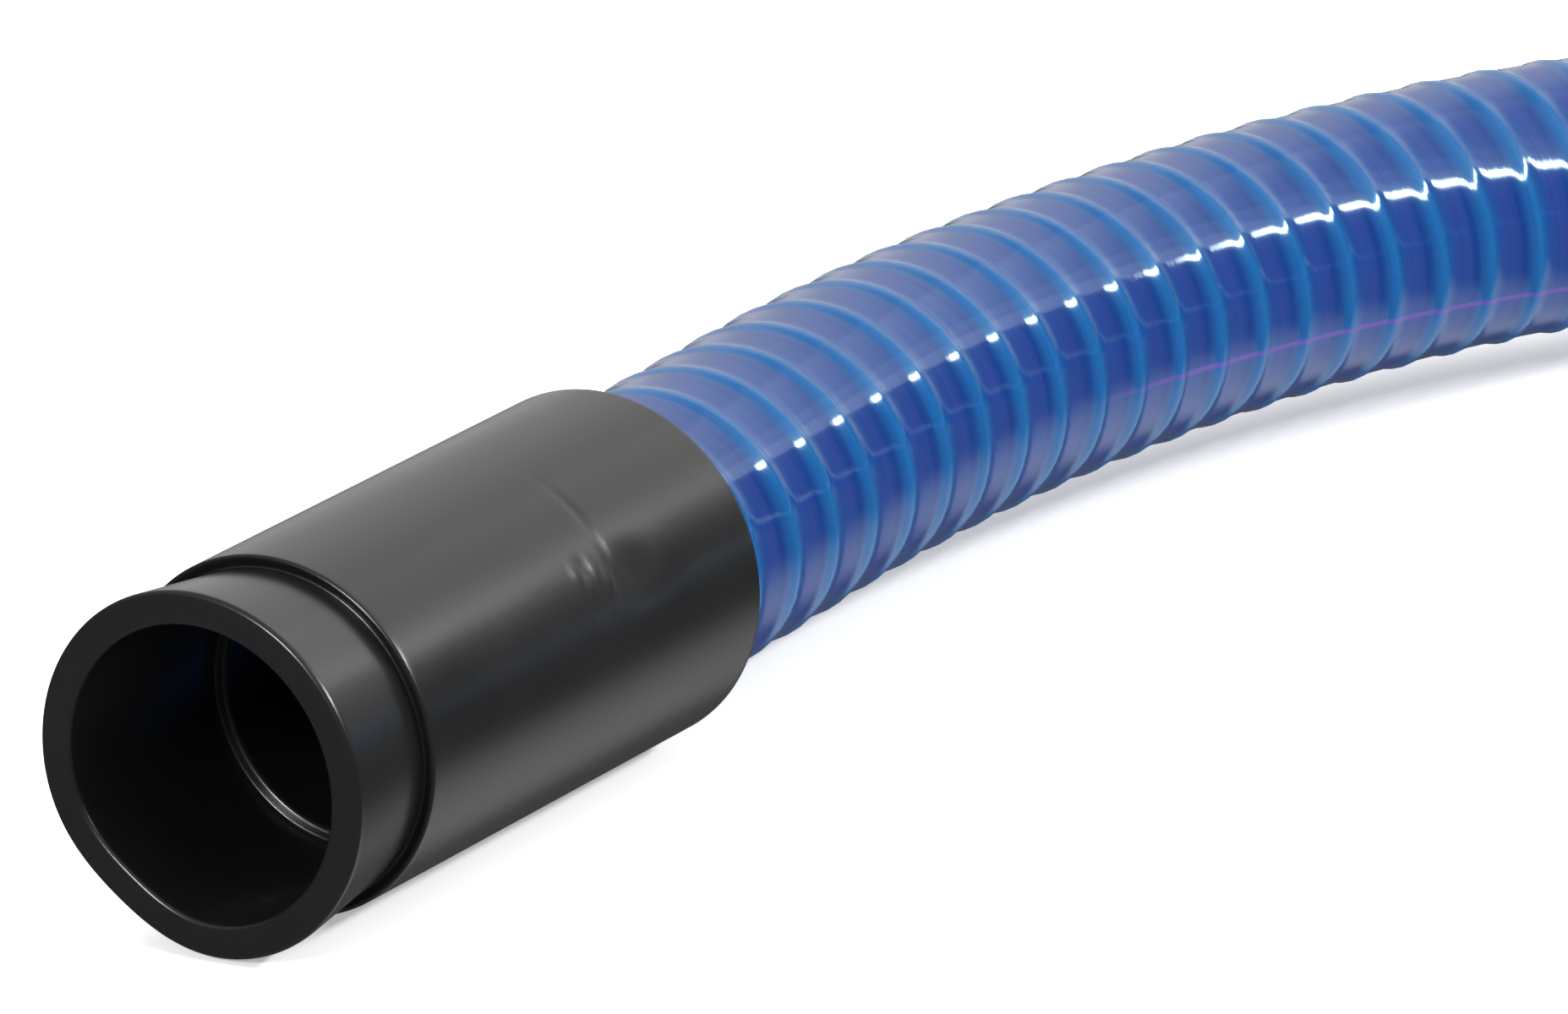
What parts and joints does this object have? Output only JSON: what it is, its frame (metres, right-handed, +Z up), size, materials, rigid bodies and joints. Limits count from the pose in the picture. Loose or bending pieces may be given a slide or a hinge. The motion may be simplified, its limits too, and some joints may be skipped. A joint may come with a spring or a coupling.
{
  "type": "flexible hose",
  "caption": "Flexible PVC suction hose with a helix in its wall and a moulded rubber cuff on each end, laid in an open turn.",
  "frame": {"origin": "on the floor, under the middle of the object's outline", "axes": "+Z up; the front cuff lies along X with its mouth towards -X; the rear cuff lies along Y with its mouth towards +Y"},
  "size_m": [0.6638, 0.891, 0.0686],
  "materials": {
    "hose_pvc": "glossy royal blue soft PVC with a light blue rigid helix",
    "cuff_rubber": "semi-gloss black moulded rubber"
  },
  "bodies": {
    "root": {"front_cuff": "cuff_rubber", "hose": "hose_pvc", "rear_cuff": "cuff_rubber"}
  },
  "joints": []
}
